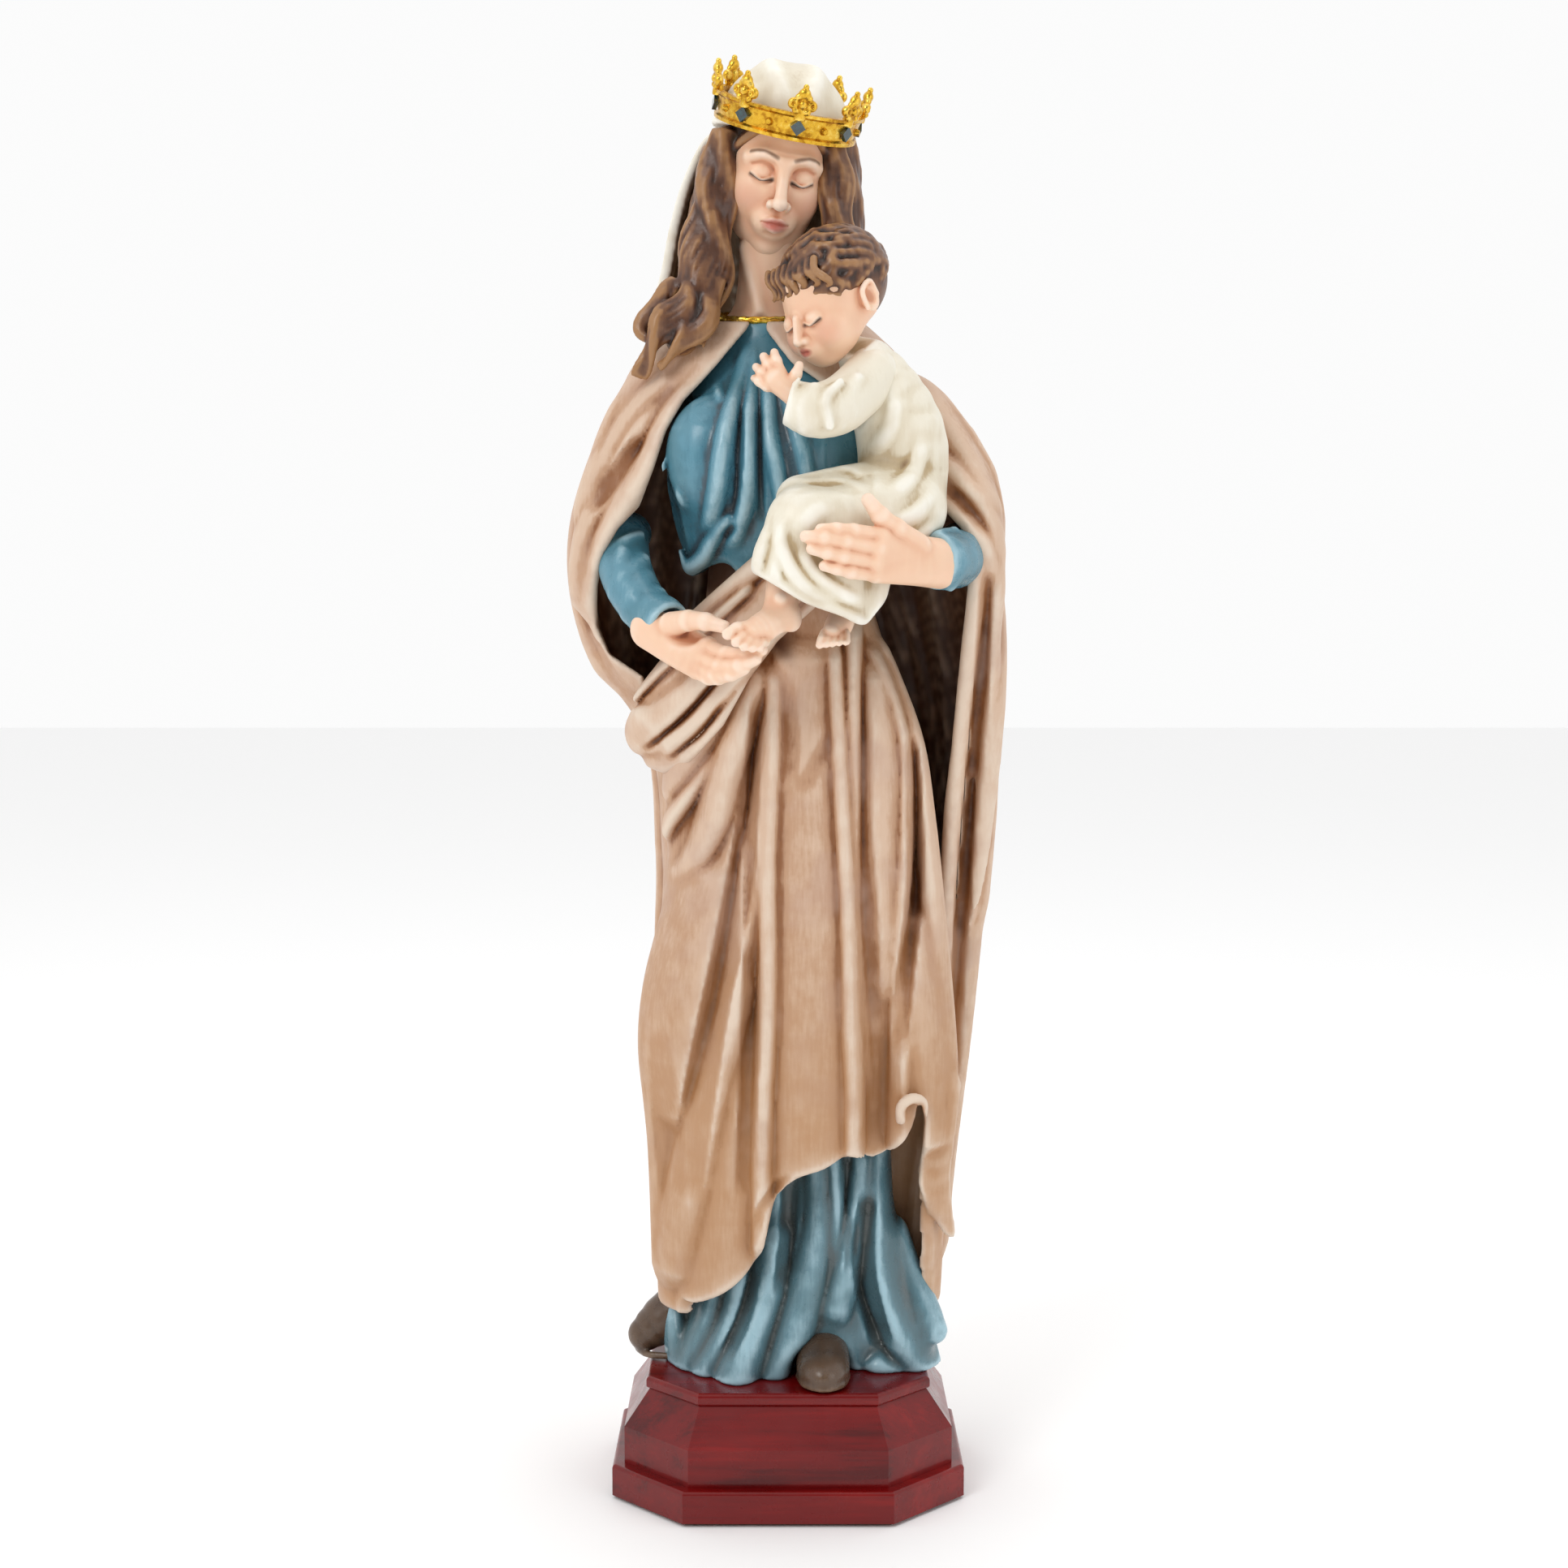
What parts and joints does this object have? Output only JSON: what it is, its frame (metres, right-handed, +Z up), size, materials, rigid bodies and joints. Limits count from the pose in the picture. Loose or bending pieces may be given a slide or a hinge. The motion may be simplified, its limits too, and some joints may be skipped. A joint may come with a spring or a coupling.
{
  "type": "madonna statue",
  "caption": "Standing crowned mother in a draped mantle holding a sleeping child, painted resin figure on an octagonal wooden base.",
  "frame": {"origin": "middle of the felt pad's underside, under the base", "axes": "+Z up, the figure faces -Y, +X to the viewer's right"},
  "size_m": [0.1817, 0.1575, 0.5968],
  "materials": {
    "felt": "dark green felt",
    "cherry_wood": "glossy red-brown lacquer",
    "raw_wood": "bare board and pine blocks",
    "steel": "zinc plated",
    "brass": "turned",
    "blue_paint": "painted and satin-varnished cast resin",
    "tan_paint": "painted and satin-varnished cast resin",
    "ivory_paint": "painted and satin-varnished cast resin",
    "skin_paint": "painted and satin-varnished cast resin",
    "hair_paint": "painted and satin-varnished cast resin",
    "shoe_paint": "painted and satin-varnished cast resin",
    "gold_leaf": "bright gold finish",
    "dark_gem": "cut glass stones"
  },
  "bodies": {
    "root": {"felt_pad": "felt", "base_foot": "cherry_wood", "bottom_board": "raw_wood", "base_body": "cherry_wood", "base_cap": "cherry_wood", "glue_blocks": "raw_wood", "base_washers": "steel", "base_screws": "steel", "threaded_inserts": "brass", "gown_skirt": "blue_paint", "crown_band": "gold_leaf", "crown_gems": "dark_gem", "crown_studs": "gold_leaf", "crown_fleurons": "gold_leaf", "bodice": "blue_paint", "head": "skin_paint", "neck": "skin_paint", "child_head": "skin_paint", "child_torso": "ivory_paint", "child_lap": "ivory_paint", "child_hem": "ivory_paint", "child_sleeve": "ivory_paint", "child_hand": "skin_paint", "child_near_foot": "skin_paint", "child_far_foot": "skin_paint", "right_sleeve": "blue_paint", "left_sleeve": "blue_paint", "right_hand": "skin_paint", "left_hand": "skin_paint", "mantle_wrap": "tan_paint", "waist_swag": "tan_paint", "cape": "tan_paint", "hair": "hair_paint", "veil": "ivory_paint", "child_hair": "hair_paint", "neck_trim": "gold_leaf", "left_shoe": "shoe_paint", "right_shoe": "shoe_paint"}
  },
  "joints": []
}
